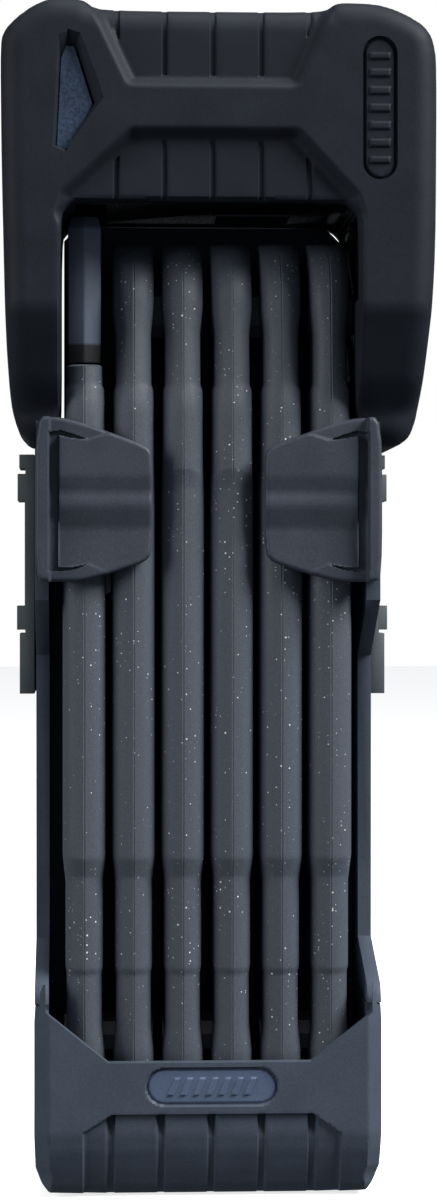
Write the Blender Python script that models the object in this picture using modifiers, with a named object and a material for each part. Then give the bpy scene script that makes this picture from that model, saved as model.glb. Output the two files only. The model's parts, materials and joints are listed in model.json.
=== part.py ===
"""Folding bike lock standing in its frame holder.

Six flat steel bars in soft sleeves are riveted into a chain. One end of the chain turns in the
lock head, and the other end is a bare tongue that the head locks. Folded up, the bars stand side
by side in a moulded holder that is fixed to the bicycle frame.

X runs along the stack of bars, -Y points out of the open side of the holder, Z is up. The origin
is on the face of the pad that lies against the bicycle frame.
"""

import math

import bmesh
import bpy
from mathutils import Euler, Vector

MM = 0.001

# Depths along Y, from the frame pad forwards (mm)
PAD_BACK, PAD_FRONT = 0.0, -1.5
BRACKET_BACK, BRACKET_FRONT = -1.8, -4.3
PLATE_BACK, PLATE_FRONT = -4.6, -7.1
BAR_Y = -22.0
CUP_INNER_FRONT, CUP_FRONT = -36.8, -39.3
FLAP_BACK, FLAP_FRONT = -36.3, -38.8
HEAD_FRONT, HEAD_SEAM, HEAD_BACK = -44.5, -24.0, -3.5
COVER_SKIN = 3.0

# The bars: six of them, side by side along X (mm)
BAR_PITCH = 8.6
BAR_CENTRES = [BAR_PITCH * (number - 3.5) for number in range(1, 7)]
TOP_PIVOT, BOTTOM_PIVOT = 51.0, -79.0
STEEL_THICKNESS, STEEL_HALF_WIDTH = 4.8, 10.0
SLEEVE_HALF_WIDTH = 12.5
SLEEVE_GAP = 0.25
TONGUE_TOP, TONGUE_THICKNESS = 67.3, 5.8
TONGUE_SLEEVE_TOP = 41.0
RIVET_SHANK, RIVET_HEAD, RIVET_HEAD_HEIGHT = 3.6, 6.2, 0.8
RIVET_RUNNING_GAP = 0.3
SLEEVE_EYE = 7.0
WASHER_RADIUS = 6.5

# The edge-on outline of a sleeve: height against half thickness (mm)
SLEEVE_PROFILE = [
    (51.0, 3.6), (46.5, 3.05), (37.5, 3.05), (36.9, 3.2), (22.4, 3.2), (18.6, 3.7),
    (-44.5, 3.7), (-49.2, 3.2), (-64.3, 3.2), (-64.9, 3.05), (-74.5, 3.05), (-79.0, 3.6),
]
MIDDLE_SECTION = (18.6, -44.5)
MIDDLE_PROUD = 0.8

# The holder (mm)
WALL_OUTER, WALL_INNER = 30.1, 27.7
HOLDER_SEAM, LAP_BOTTOM = -70.0, -86.0
ARM_TOP = 26.4
CUP_HALF_WIDTH, CUP_BOTTOM = 30.2, -103.3
BOSS_HEIGHTS = (16.0, -48.0)
BOSS_HOLE = 2.7
BRACKET_SCREW_X, BRACKET_SCREW_Z = 19.0, 4.0

# The head (mm)
UNDERSIDE = 68.8
SOCKET_LOW_X, SOCKET_HIGH_X, SOCKET_TOP = -25.3, -17.7, 88.0
CYLINDER_X, CYLINDER_Y = 8.0, -24.0
BOLT_TRAVEL = 7.0
KEY_SWING = math.radians(90)
BOLT_BOX = ((-16.6, -31.0, 72.9), (15.6, -20.0, 76.7))
COVER_SCREWS = [(-30.7, 46.0), (-30.0, 93.0), (33.4, 93.0), (33.4, 64.0)]
CASING_EDGE = 1.8
LEG_SLOPE_TOP, LEG_ROOM_FRONT = 52.0, -31.5

SEGMENTS = 16


def clear_scene():
    for obj in list(bpy.data.objects):
        bpy.data.objects.remove(obj)


def new_collection(name):
    collection = bpy.data.collections.new(name)
    bpy.context.scene.collection.children.link(collection)
    return collection


def finish(name, colour, roughness, metallic=0.0):
    material = bpy.data.materials.new(name)
    material.use_nodes = True
    shader = material.node_tree.nodes["Principled BSDF"]
    shader.inputs["Base Color"].default_value = (*colour, 1)
    shader.inputs["Roughness"].default_value = roughness
    shader.inputs["Metallic"].default_value = metallic
    material.diffuse_color = (*colour, 1)
    return material


# ---------------------------------------------------------------- shapes


def arc(centre, radius, start, end, steps):
    """Points on an arc, both ends included; angles in degrees."""
    turns = [math.radians(start + (end - start) * step / steps) for step in range(steps + 1)]
    return [(centre[0] + radius * math.cos(turn), centre[1] + radius * math.sin(turn)) for turn in turns]


def circle(centre, radius, steps=SEGMENTS):
    return arc(centre, radius, 0, 360, steps)[:-1]


def stadium(half_width, low, high, steps=8):
    """An upright stadium around the line from height low to height high."""
    return arc((0, high), half_width, 0, 180, steps) + arc((0, low), half_width, 180, 360, steps)


def mesh_object(name, mesh, place=(0, 0, 0)):
    obj = bpy.data.objects.new(name, mesh)
    obj.location = Vector(place) * MM
    return obj


# A flat outline is drawn in the curve's own plane and turned so that it faces along one axis.
FACING = {
    "X": Euler((math.radians(90), 0, math.radians(90))),
    "Y": Euler((math.radians(90), 0, 0)),
    "Z": Euler((0, 0, 0)),
}


def plate(name, outline, facing, low, high, holes=()):
    """An outline made solid from low to high along the axis it faces. Its holes go right through."""
    curve = bpy.data.curves.new(name, "CURVE")
    curve.dimensions = "2D"
    curve.fill_mode = "BOTH"
    curve.extrude = abs(high - low) / 2 * MM
    for loop in (outline, *holes):
        spline = curve.splines.new("POLY")
        spline.points.add(len(loop) - 1)
        for point, (across, up) in zip(spline.points, loop):
            point.co = (across * MM, up * MM, 0, 1)
        spline.use_cyclic_u = True
    drawn = bpy.data.objects.new(f"{name}_drawing", curve)
    bpy.context.scene.collection.objects.link(drawn)
    axis = Vector([letter == facing for letter in "XYZ"])
    drawn.rotation_euler = FACING[facing]
    drawn.location = axis * (low + high) / 2 * MM
    bpy.context.view_layer.update()
    graph = bpy.context.evaluated_depsgraph_get()
    mesh = bpy.data.meshes.new_from_object(drawn.evaluated_get(graph))
    shape = bmesh.new()
    shape.from_mesh(mesh)
    bmesh.ops.remove_doubles(shape, verts=shape.verts, dist=0.000001)
    bmesh.ops.recalc_face_normals(shape, faces=shape.faces)
    shape.to_mesh(mesh)
    shape.free()
    obj = mesh_object(name, mesh)
    obj.matrix_world = drawn.matrix_world
    bpy.data.objects.remove(drawn)
    return obj


def box(name, low, high):
    shape = bmesh.new()
    bmesh.ops.create_cube(shape, size=1)
    size = [abs(b - a) * MM for a, b in zip(low, high)]
    bmesh.ops.scale(shape, vec=size, verts=shape.verts)
    mesh = bpy.data.meshes.new(name)
    shape.to_mesh(mesh)
    shape.free()
    return mesh_object(name, mesh, [(a + b) / 2 for a, b in zip(low, high)])


def turned(name, profile, axis, place):
    """A profile of (radius, height) points, top outside point first, turned about an axis."""
    mesh = bpy.data.meshes.new(name)
    points = [(radius * MM, 0, height * MM) for radius, height in profile]
    closed = profile[0][0] > 0
    edges = [(spot, spot + 1) for spot in range(len(points) - 1)]
    if closed:
        edges.append((len(points) - 1, 0))
    mesh.from_pydata(points, edges, [])
    obj = mesh_object(name, mesh, place)
    if axis == "X":
        obj.rotation_euler = (0, math.radians(90), 0)
    elif axis == "Y":
        obj.rotation_euler = (math.radians(90), 0, 0)
    screw = obj.modifiers.new("Turn", "SCREW")
    screw.steps = screw.render_steps = SEGMENTS
    screw.use_merge_vertices = True
    screw.merge_threshold = 0.00001
    return obj


def loft(name, sections):
    """A closed skin over sections with equal numbers of points, capped at both ends."""
    shape = bmesh.new()
    rings = [[shape.verts.new(Vector(point) * MM) for point in section] for section in sections]
    count = len(rings[0])
    for ring, following in zip(rings, rings[1:]):
        for spot in range(count):
            after = (spot + 1) % count
            shape.faces.new((ring[spot], ring[after], following[after], following[spot]))
    shape.faces.new(rings[0][::-1])
    shape.faces.new(rings[-1])
    bmesh.ops.recalc_face_normals(shape, faces=shape.faces)
    mesh = bpy.data.meshes.new(name)
    shape.to_mesh(mesh)
    shape.free()
    return mesh_object(name, mesh)


def boolean(obj, other, operation):
    other.display_type = "WIRE"
    other.hide_render = True
    cutters.objects.link(other)
    modifier = obj.modifiers.new(operation.title(), "BOOLEAN")
    modifier.operation = operation
    modifier.object = other
    return obj


def cut(obj, *others):
    for other in others:
        boolean(obj, other, "DIFFERENCE")
    return obj


def join(obj, *others):
    for other in others:
        boolean(obj, other, "UNION")
    return obj


def mirrored(outline):
    return [(-across, up) for across, up in reversed(outline)]


# ---------------------------------------------------------------- bodies


def body(name, place, parent=None):
    """An empty on a joint's axis that carries one moving body."""
    empty = bpy.data.objects.new(name, None)
    empty.empty_display_size = 0.01
    parts.objects.link(empty)
    empty["place"] = [value * MM for value in place]
    empty.location = Vector(empty["place"])
    if parent:
        empty.parent = parent
        empty.location -= Vector(parent["place"])
    return empty


def add(obj, material, carrier=None):
    """Links a finished piece, gives it its material and hangs it on its body."""
    parts.objects.link(obj)
    obj.data.materials.clear()
    obj.data.materials.append(material)
    if carrier:
        obj.parent = carrier
        obj.location -= Vector(carrier["place"])
    return obj


# ---------------------------------------------------------------- holder


def holder_body():
    """Back plate, side walls and arms. The plate laps down into the cup, so no gap shows at the seam."""
    seam, step = HOLDER_SEAM + 0.2, HOLDER_SEAM + 0.5
    back = [
        (-27.2, LAP_BOTTOM), (27.2, LAP_BOTTOM), (27.2, seam), (28.5, step), (28.5, 26.1), (25.5, 26.1),
        (25.5, 65.6), (22.9, 68.2), (-22.7, 68.2), (-25.2, 65.7), (-25.2, 26.1), (-28.5, 26.1),
        (-28.5, step), (-27.2, seam),
    ]
    shell = plate("holder_body", back, "Y", PLATE_BACK, PLATE_FRONT)
    wall = [
        (PLATE_BACK - 0.2, HOLDER_SEAM), (PLATE_BACK - 0.2, ARM_TOP), (-34.9, ARM_TOP), (-34.9, 0.0),
        (-18.3, -9.8), (-18.3, -60.5), (-35.0, -67.0), (-36.4, HOLDER_SEAM),
    ]
    for side in (-1, 1):
        join(shell, plate("side_wall", wall, "X", side * WALL_INNER, side * WALL_OUTER))
        drill(shell, (side * BRACKET_SCREW_X, BRACKET_SCREW_Z), 1.9)
    for height in BOSS_HEIGHTS:
        drill(shell, (0, height), BOSS_HOLE)
    return add(shell, holder_plastic)


def drill(obj, centre, radius):
    """A hole straight through along Y, as deep as the mounting plates."""
    return cut(obj, plate("hole", circle(centre, radius, 12), "Y", 1, -9))


def holder_cup():
    top_corner, shoulder = -66.2, -67.6
    front = [
        (-CUP_HALF_WIDTH, -98.0), (-29.0, -101.5), (-27.0, CUP_BOTTOM), (27.0, CUP_BOTTOM),
        (29.0, -101.5), (CUP_HALF_WIDTH, -98.0), (CUP_HALF_WIDTH, shoulder), (28.2, top_corner),
        (-28.2, top_corner), (-CUP_HALF_WIDTH, shoulder),
    ]
    mouth = [(-28.1, -60), (-28.0, -71.0), (-17.4, -79.7), (17.4, -79.7), (28.0, -71.0), (28.1, -60)]
    side = [
        (CUP_FRONT, -60.0), (PLATE_BACK, -60.0), (PLATE_BACK, CUP_BOTTOM), (-31.0, CUP_BOTTOM),
        (-35.6, -101.0), (-38.2, -96.5), (CUP_FRONT, -91.5),
    ]
    cup = plate("holder_cup", front, "Y", PLATE_BACK, CUP_FRONT)
    boolean(cup, plate("cup_side", side, "X", -40, 40), "INTERSECT")
    cut(
        cup,
        box("cup_hollow", (-WALL_INNER, CUP_INNER_FRONT, -94.0), (WALL_INNER, PLATE_FRONT, -50)),
        box("cup_seam", (-40, CUP_INNER_FRONT + 0.1, HOLDER_SEAM - 0.3), (40, 0, -50)),
        box("cup_lap", (-WALL_INNER, PLATE_FRONT - 1, LAP_BOTTOM - 0.3), (WALL_INNER, 1, -50)),
        plate("cup_mouth", mouth, "Y", CUP_FRONT - 3, CUP_INNER_FRONT + 3),
        plate("badge_recess", wide_stadium(11.5, 3.3), "Y", CUP_FRONT - 1, CUP_FRONT + 1.2),
    )
    for groove in (-17.4, -8.6, 0.2, 9.0, 17.8):
        low, high = (groove - 0.6, CUP_FRONT - 1, CUP_BOTTOM - 1), (groove + 0.6, CUP_FRONT + 0.7, -88.5)
        cut(cup, box("rib_groove", low, high))
    return add(cup, holder_plastic)


def wide_stadium(half_length, radius, centre=(0.5, -84.0)):
    run = half_length - radius
    right = arc((centre[0] + run, centre[1]), radius, -90, 90, 8)
    return right + arc((centre[0] - run, centre[1]), radius, 90, 270, 8)


def tall_stadium(half_length, radius, centre):
    run = half_length - radius
    top = arc((centre[0], centre[1] + run), radius, 0, 180, 8)
    return top + arc((centre[0], centre[1] - run), radius, 180, 360, 8)


def cup_badge():
    badge = plate("cup_badge", wide_stadium(11.1, 2.9), "Y", CUP_FRONT + 0.3, CUP_FRONT + 0.9)
    return add(badge, holder_plastic)


def cup_liner():
    return add(box("cup_liner", (-27.3, -36.4, -93.7), (27.3, -7.5, -92.3)), rubber)


def frame_bracket():
    bracket = box("frame_bracket", (-30.9, BRACKET_FRONT, -16.7), (30.9, BRACKET_BACK, 26.0))
    join(bracket, box("stem", (-14, BRACKET_FRONT + 0.2, -58), (14, BRACKET_BACK - 0.2, -10)))
    ear = [
        (30.5, -17.0), (33.2, -17.0), (33.2, -6.0), (32.2, -6.0), (32.2, -5.4), (33.7, -5.4), (33.7, -1.0),
        (32.3, -1.0), (32.3, 18.0), (33.6, 18.0), (33.6, 22.9), (32.2, 22.9), (32.2, 23.9), (33.3, 23.9),
        (33.3, ARM_TOP), (30.5, ARM_TOP),
    ]
    join(bracket, plate("ear", ear, "Y", BRACKET_BACK - 0.2, -12.0))
    join(bracket, plate("ear", mirrored(ear), "Y", BRACKET_BACK - 0.2, -12.0))
    for side in (-1, 1):
        drill(bracket, (side * BRACKET_SCREW_X, BRACKET_SCREW_Z), 1.7)
    for height in BOSS_HEIGHTS:
        drill(bracket, (0, height), BOSS_HOLE)
    return add(bracket, bracket_plastic)


def frame_pad():
    outline = [(-14, -58), (14, -58), (14, 27.2), (-14, 27.2)]
    return add(plate("frame_pad", outline, "Y", PAD_BACK, PAD_FRONT), rubber)


def bracket_screw(side):
    profile = [(3.4, -8.5), (3.4, -7.4), (1.35, -7.4), (1.35, -2.1), (0, -2.1)]
    turned_profile = [(0, 8.5)] + [(radius, -depth) for radius, depth in profile]
    name = "bracket_screw_left" if side < 0 else "bracket_screw_right"
    screw = turned(name, turned_profile, "Y", (side * BRACKET_SCREW_X, 0, BRACKET_SCREW_Z))
    return add(screw, bright_steel)


def clip_flap(side, carrier):
    """One wing: a ridge over the end of the side arm and a pad that reaches over the bars."""
    pad = [
        (-28.3, 29.0), (-28.3, 4.0), (-20.7, 3.4), (-12.2, 6.2), (-9.9, 9.2), (-9.9, 22.6),
        (-12.2, 26.2), (-20.7, 31.4), (-27.0, 31.4),
    ]
    ridge = [(-30.1, 0.0), (-28.1, 0.0), (-27.6, 3.0), (-27.6, 29.8), (-28.1, 32.4), (-30.1, 32.4)]
    if side > 0:
        pad, ridge = mirrored(pad), mirrored(ridge)
    name = "left_clip_flap" if side < 0 else "right_clip_flap"
    flap = plate(name, pad, "Y", FLAP_BACK, FLAP_FRONT)
    join(flap, plate("ridge", ridge, "Y", -35.2, -40.3))
    return add(flap, clip_plastic, carrier)


# ---------------------------------------------------------------- bars


def half_thickness(height):
    """Half the thickness of a sleeve at a height, read along its edge-on outline."""
    if height >= SLEEVE_PROFILE[0][0]:
        return SLEEVE_PROFILE[0][1]
    for (high, thick), (low, thin) in zip(SLEEVE_PROFILE, SLEEVE_PROFILE[1:]):
        if height >= low:
            return thin + (thick - thin) * (height - low) / (high - low)
    return SLEEVE_PROFILE[-1][1]


def sleeve_section(centre, height, half_width, proud):
    """One eight-cornered section of a sleeve, with its narrow edges brought to a blunt crest."""
    thick = half_thickness(height)
    shoulder = max(half_width - 2.2, 0.4)
    crest = half_width + proud
    corners = [(thick, shoulder), (thick * 0.7, crest - 0.5), (-thick * 0.7, crest - 0.5), (-thick, shoulder)]
    near = [(centre + across, BAR_Y - deep, height) for across, deep in corners]
    far = [(centre + across, BAR_Y + deep, height) for across, deep in reversed(corners)]
    return near + far


def sleeve_stations(top_is_bare):
    """Heights down a sleeve with the half width and the extra depth at each."""
    rounding = (8, 30, 55, 90)
    stations = []
    if top_is_bare:
        stations.append((TONGUE_SLEEVE_TOP, SLEEVE_HALF_WIDTH - 1.0, 0))
    else:
        for turn in rounding:
            rise = SLEEVE_HALF_WIDTH * math.cos(math.radians(turn))
            stations.append((TOP_PIVOT + rise, SLEEVE_HALF_WIDTH * math.sin(math.radians(turn)), 0))
    for height, _ in SLEEVE_PROFILE[1:-1]:
        if top_is_bare and height >= TONGUE_SLEEVE_TOP:
            continue
        inside = MIDDLE_SECTION[1] <= height <= MIDDLE_SECTION[0]
        stations.append((height, SLEEVE_HALF_WIDTH, MIDDLE_PROUD if inside else 0))
    for turn in reversed(rounding):
        drop = SLEEVE_HALF_WIDTH * math.cos(math.radians(turn))
        stations.append((BOTTOM_PIVOT - drop, SLEEVE_HALF_WIDTH * math.sin(math.radians(turn)), 0))
    return stations


def bar_sleeve(number, carrier):
    """The coating of one bar, with an eye at each pivot for the rivet head and the washer."""
    centre = BAR_CENTRES[number - 1]
    bare = number == 1
    name = f"bar_{number}_sleeve"
    sections = [sleeve_section(centre, *station) for station in sleeve_stations(bare)]
    sleeve = loft(name, sections)
    hollow = STEEL_THICKNESS / 2 + SLEEVE_GAP
    top = TOP_PIVOT + 40 if bare else TOP_PIVOT
    room = stadium(STEEL_HALF_WIDTH + SLEEVE_GAP, BOTTOM_PIVOT, top)
    channel = [(BAR_Y + across, up) for across, up in room]
    cut(sleeve, plate("channel", channel, "X", centre - hollow, centre + hollow))
    for pivot in (TOP_PIVOT, BOTTOM_PIVOT):
        if bare and pivot == TOP_PIVOT:
            continue
        eye = circle((BAR_Y, pivot), SLEEVE_EYE, 16)
        cut(sleeve, plate("eye", eye, "X", centre - 6, centre + 6))
    return add(sleeve, sleeve_coating, carrier)


def bar_steel(number, carrier):
    centre = BAR_CENTRES[number - 1]
    half = STEEL_THICKNESS / 2
    bottom = arc((BAR_Y, BOTTOM_PIVOT), STEEL_HALF_WIDTH, 180, 360, 10)
    bore = RIVET_SHANK + RIVET_RUNNING_GAP
    holes = [circle((BAR_Y, BOTTOM_PIVOT), bore, 16)]
    if number == 1:
        low, high = BAR_Y - STEEL_HALF_WIDTH, BAR_Y + STEEL_HALF_WIDTH
        neck, root = TONGUE_SLEEVE_TOP - 0.3, TONGUE_SLEEVE_TOP - 3
        top = [(high, root), (high - 2, neck), (high - 2, 60), (low + 2, 60), (low + 2, neck), (low, root)]
    else:
        top = arc((BAR_Y, TOP_PIVOT), STEEL_HALF_WIDTH, 0, 180, 10)
        holes.append(circle((BAR_Y, TOP_PIVOT), bore, 16))
    steel = plate(f"bar_{number}_steel", top + bottom, "X", centre - half, centre + half, holes)
    if number == 1:
        shape_tongue(steel, centre)
    return add(steel, bar_steel_finish, carrier)


def shape_tongue(steel, centre):
    """Thickens the bare end, brings its edges to a crest and cuts the notch the bolt enters."""
    thick, wide = TONGUE_THICKNESS / 2, STEEL_HALF_WIDTH
    flat = wide - 1.2
    corners = [(-wide, 0), (-flat, thick), (flat, thick), (wide, 0), (flat, -thick), (-flat, -thick)]
    spans = [(TONGUE_SLEEVE_TOP + 0.4, 1.0), (TONGUE_TOP - 2.2, 1.0), (TONGUE_TOP, 0.8)]
    sections = [
        [(centre + across * scale, BAR_Y + deep * scale, height) for deep, across in corners]
        for height, scale in spans
    ]
    join(steel, loft("tongue", sections))
    cut(steel, box("bolt_notch", (centre - 6, BAR_Y - 4.6, 53.8), (centre + 6, BAR_Y + 4.6, 59.4)))


def rivet(name, low_x, high_x, height, carrier):
    """A rivet through two neighbouring pieces, headed outside both."""
    half = (high_x - low_x) / 2
    inner = half - RIVET_HEAD_HEIGHT
    profile = [
        (0, half), (RIVET_HEAD, half), (RIVET_HEAD, inner), (RIVET_SHANK, inner),
        (RIVET_SHANK, -inner), (RIVET_HEAD, -inner), (RIVET_HEAD, -half), (0, -half),
    ]
    place = ((low_x + high_x) / 2, BAR_Y, height)
    return add(turned(name, profile, "X", place), rivet_steel, carrier)


def washer(name, low_x, high_x, height, carrier):
    half = (high_x - low_x) / 2
    bore = RIVET_SHANK + RIVET_RUNNING_GAP
    profile = [(WASHER_RADIUS, half), (WASHER_RADIUS, -half), (bore, -half), (bore, half)]
    return add(turned(name, profile, "X", ((low_x + high_x) / 2, BAR_Y, height)), rivet_steel, carrier)


def chain():
    """The bars and their pivots. Neighbours share a rivet, at the top and the bottom by turns."""
    reach = STEEL_THICKNESS / 2 + 0.3
    for number in range(1, 7):
        bar_steel(number, bars[number])
        bar_sleeve(number, bars[number])
    for number in range(1, 6):
        left, right = BAR_CENTRES[number - 1], BAR_CENTRES[number]
        height = BOTTOM_PIVOT if number % 2 else TOP_PIVOT
        label = f"{number}{number + 1}"
        outer = reach + RIVET_HEAD_HEIGHT
        rivet(f"rivet_{label}", left - outer, right + outer, height, bars[number + 1])
        washer(f"washer_{label}", left + reach, right - reach, height, bars[number + 1])
    last = BAR_CENTRES[5]
    rivet("rivet_head", last - reach - RIVET_HEAD_HEIGHT, 32.1, TOP_PIVOT, head)
    washer("washer_head", last + reach, 25.8, TOP_PIVOT, head)


# ---------------------------------------------------------------- head


def head_outline():
    """The front view of the casing: two legs below, two humps and a valley above."""
    left_leg = [
        (-35.9, 95.8), (-35.7, 75.0), (-35.0, 45.0), (-34.3, 34.0), (-33.2, 29.8), (-31.2, 27.6),
        (-27.4, 27.6), (-25.6, 29.4),
    ]
    notch = [(-25.6, 66.1), (-23.2, 68.5), (23.4, 68.5), (25.8, 66.1)]
    right_leg = [
        (25.8, 28.6), (27.6, 26.8), (33.2, 26.8), (35.6, 28.6), (36.9, 32.4), (37.9, 43.0),
        (39.0, 60.0), (39.2, 93.0),
    ]
    crown = [
        (38.4, 97.0), (36.9, 99.0), (34.5, 100.5), (31.6, 101.8), (28.5, 102.6), (22.0, 102.8),
        (19.6, 101.4), (-19.4, 101.4), (-22.0, 103.0), (-27.4, 103.1), (-30.4, 101.8), (-33.0, 99.9),
        (-34.9, 98.0),
    ]
    return left_leg + notch + right_leg + crown


def head_hollow(name, low, high):
    """The room inside the casing. It is open to the notch where the steel body shows."""
    outline = [
        (-33.0, LEG_SLOPE_TOP), (-28.4, LEG_SLOPE_TOP), (-28.4, 72.0), (-23.0, 72.0), (-23.0, 67.3),
        (25.0, 67.3), (25.0, LEG_SLOPE_TOP), (36.4, LEG_SLOPE_TOP), (36.4, 96.6), (34.0, 98.8),
        (-31.0, 98.8), (-33.0, 96.8),
    ]
    return plate(name, outline, "Y", low, high)


def leg_hollows(low, high):
    """The room at the lower ends of the legs, which stops short of their sloping fronts."""
    left = box("left_leg_room", (-33.0, low, 34.0), (-28.4, high, LEG_SLOPE_TOP + 1))
    right = box("right_leg_room", (25.0, low, 32.0), (35.4, high, LEG_SLOPE_TOP + 1))
    return left, right


def shed_leg_fronts():
    """Cutter that slopes the fronts of both legs back towards their lower ends."""
    wedge = [(-46, 52), (-44.6, 50), (-39.0, 38), (-34.6, 33.2), (-34.2, 20), (-46, 20)]
    return plate("leg_slope", wedge, "X", -45, 45)


def keyhole_cutters(low, high):
    recess = box("cover_recess", (CYLINDER_X - 9.3, low, 99.8), (CYLINDER_X + 9.3, high, 110))
    hole = plate("key_opening", circle((CYLINDER_X, CYLINDER_Y), 6.9), "Z", 97, 110)
    return recess, hole


def casing_half(name, seam, face):
    """Half of the casing as a solid block, with a bevel round its outer face only."""
    half = plate(name, head_outline(), "Y", seam, face)
    shape = bmesh.new()
    shape.from_mesh(half.data)
    weight = shape.edges.layers.float.new("bevel_weight_edge")
    for edge in shape.edges:
        heights = {round((half.matrix_world @ end.co).y / MM, 2) for end in edge.verts}
        if heights == {face} and edge.calc_face_angle(0) > 1:
            edge[weight] = 1
    shape.to_mesh(half.data)
    shape.free()
    edge_bevel = half.modifiers.new("Bevel", "BEVEL")
    edge_bevel.width = CASING_EDGE * MM
    edge_bevel.segments = 1
    edge_bevel.limit_method = "WEIGHT"
    return half


def head_cover_front():
    cover = casing_half("head_cover_front", HEAD_SEAM - 0.15, HEAD_FRONT)
    window = [(-24.2, 98.5), (-26.0, 97.8), (-26.7, 78.0), (-24.8, 77.1), (-18.1, 86.8)]
    recess, hole = keyhole_cutters(-31.0, -20)
    cut(
        cover,
        head_hollow("front_hollow", HEAD_FRONT + COVER_SKIN, HEAD_SEAM + 1),
        *leg_hollows(LEG_ROOM_FRONT, HEAD_SEAM + 1),
        shed_leg_fronts(),
        plate("window_recess", window, "Y", HEAD_FRONT - 1, HEAD_FRONT + 2.0),
        plate("badge_recess", tall_stadium(12.3, 3.0, (29.6, 85.1)), "Y", HEAD_FRONT - 1, HEAD_FRONT + 1.2),
        recess,
        hole,
    )
    return add(cover, soft_touch, head)


def head_cover_rear():
    cover = casing_half("head_cover_rear", HEAD_SEAM + 0.15, HEAD_BACK)
    recess, hole = keyhole_cutters(-30, -6.2)
    rear_wall = HEAD_BACK - COVER_SKIN
    cut(cover, head_hollow("rear_hollow", HEAD_SEAM - 1, rear_wall), *leg_hollows(HEAD_SEAM - 1, rear_wall))
    cut(cover, recess, hole)
    for across, up in COVER_SCREWS:
        cut(cover, plate("counterbore", circle((across, up), 3.3, 12), "Y", 0, HEAD_BACK - 1.8))
        cut(cover, plate("clearance", circle((across, up), 1.9, 10), "Y", 0, HEAD_BACK - 8))
    return add(cover, soft_touch, head)


def cover_screw(number):
    across, up = COVER_SCREWS[number - 1]
    top = -HEAD_BACK + 0.4
    profile = [(0, 15.0), (1.5, 15.0), (1.5, top + 1.1), (2.8, top + 1.1), (2.8, top), (0, top)]
    screw = turned(f"head_cover_screw_{number}", profile, "Y", (across, 0, up))
    return add(screw, bright_steel, head)


def head_core():
    """The steel lock body: a block over the bars, a guard in the left leg, the pivot cheek in the right."""
    outline = [
        (-30.8, 98.4), (-32.6, 96.6), (-32.6, 40.0), (-28.8, 40.0), (-28.8, 72.4), (-22.6, 72.4),
        (-22.6, UNDERSIDE), (26.2, UNDERSIDE), (26.2, 39.5), (31.3, 39.5), (31.3, 60.0), (36.0, 60.0),
        (36.0, 96.4), (34.0, 98.4),
    ]
    core = plate("head_core", outline, "Y", HEAD_BACK - COVER_SKIN - 0.3, HEAD_FRONT + COVER_SKIN + 0.3)
    socket_front, socket_back = BAR_Y - 11.6, BAR_Y + 11.6
    bolt_low, bolt_high = BOLT_BOX
    cut(
        core,
        box("tongue_socket", (SOCKET_LOW_X, socket_front, 60), (SOCKET_HIGH_X, socket_back, SOCKET_TOP)),
        plate("cylinder_bore", circle((CYLINDER_X, CYLINDER_Y), 8.8), "Z", bolt_high[2] + 0.2, 110),
        box(
            "bolt_channel",
            (SOCKET_HIGH_X - 1, bolt_low[1] - 0.3, bolt_low[2] - 0.3),
            (bolt_high[0] + 0.6, bolt_high[1] + 0.3, bolt_high[2] + 0.4),
        ),
        plate("pivot_bore", circle((BAR_Y, TOP_PIVOT), RIVET_SHANK + RIVET_RUNNING_GAP, 16), "X", 20, 40),
        box("leg_relief", (-45, -50, 30), (45, LEG_ROOM_FRONT + 0.3, LEG_SLOPE_TOP + 0.4)),
    )
    for across, up in COVER_SCREWS:
        cut(core, plate("screw_hole", circle((across, up), 1.7, 10), "Y", 0, -17.3))
    return add(core, black_steel, head)


def face_plates():
    """The flat trim pieces of the head: the grained window, the blank badge and the blank label."""
    window = [(-24.3, 97.7), (-25.6, 97.2), (-26.3, 78.5), (-24.9, 77.8), (-18.6, 86.8)]
    insert = plate("window_insert", window, "Y", HEAD_FRONT + 1.0, HEAD_FRONT + 1.7)
    add(insert, grained_plastic, head)
    blank = tall_stadium(11.9, 2.6, (29.6, 85.1))
    badge = plate("head_badge", blank, "Y", HEAD_FRONT + 0.3, HEAD_FRONT + 0.9)
    add(badge, soft_touch, head)
    label = box("underside_label", (2, -25, UNDERSIDE - 0.7), (15, -13, UNDERSIDE - 0.3))
    add(label, label_stock, head)


def lock_cylinder():
    """The housing, the plug with its keyway, the cam under it, and the bolt that the cam drives."""
    place = (CYLINDER_X, CYLINDER_Y, 0)
    housing = turned("cylinder_housing", [(8.5, 98.3), (8.5, 80.4), (6.0, 80.4), (6.0, 98.3)], "Z", place)
    add(housing, brass, head)
    plug_profile = [(0, 98.5), (5.6, 98.5), (5.6, 80.6), (0, 80.6)]
    plug = turned("cylinder_plug", plug_profile, "Z", place)
    low, high = (CYLINDER_X - 0.8, CYLINDER_Y - 3.6, 86), (CYLINDER_X + 0.8, CYLINDER_Y + 3.6, 100)
    cut(plug, box("keyway", low, high))
    add(plug, brass, key)
    crank = BOLT_TRAVEL / (2 * math.sin(KEY_SWING / 2))
    start = math.radians(-45)
    pin = (CYLINDER_X + crank * math.cos(start), CYLINDER_Y + crank * math.sin(start))
    cam = turned("plug_cam", [(0, 80.2), (6.8, 80.2), (6.8, 77.6), (0, 77.6)], "Z", place)
    join(cam, plate("crank_pin", circle(pin, 1.2, 12), "Z", 73.6, 78.5))
    add(cam, bright_steel, key)
    bolt = box("locking_bolt", *BOLT_BOX)
    nose = box("nose_relief", (-20, -40, 70), (-4, -28, 80))
    slot = box("pin_slot", (pin[0] - 1.7, pin[1] - 3.2, 70), (pin[0] + 1.7, pin[1] + 1.8, 80))
    add(cut(bolt, nose, slot), bright_steel, bolt_carrier)


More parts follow.
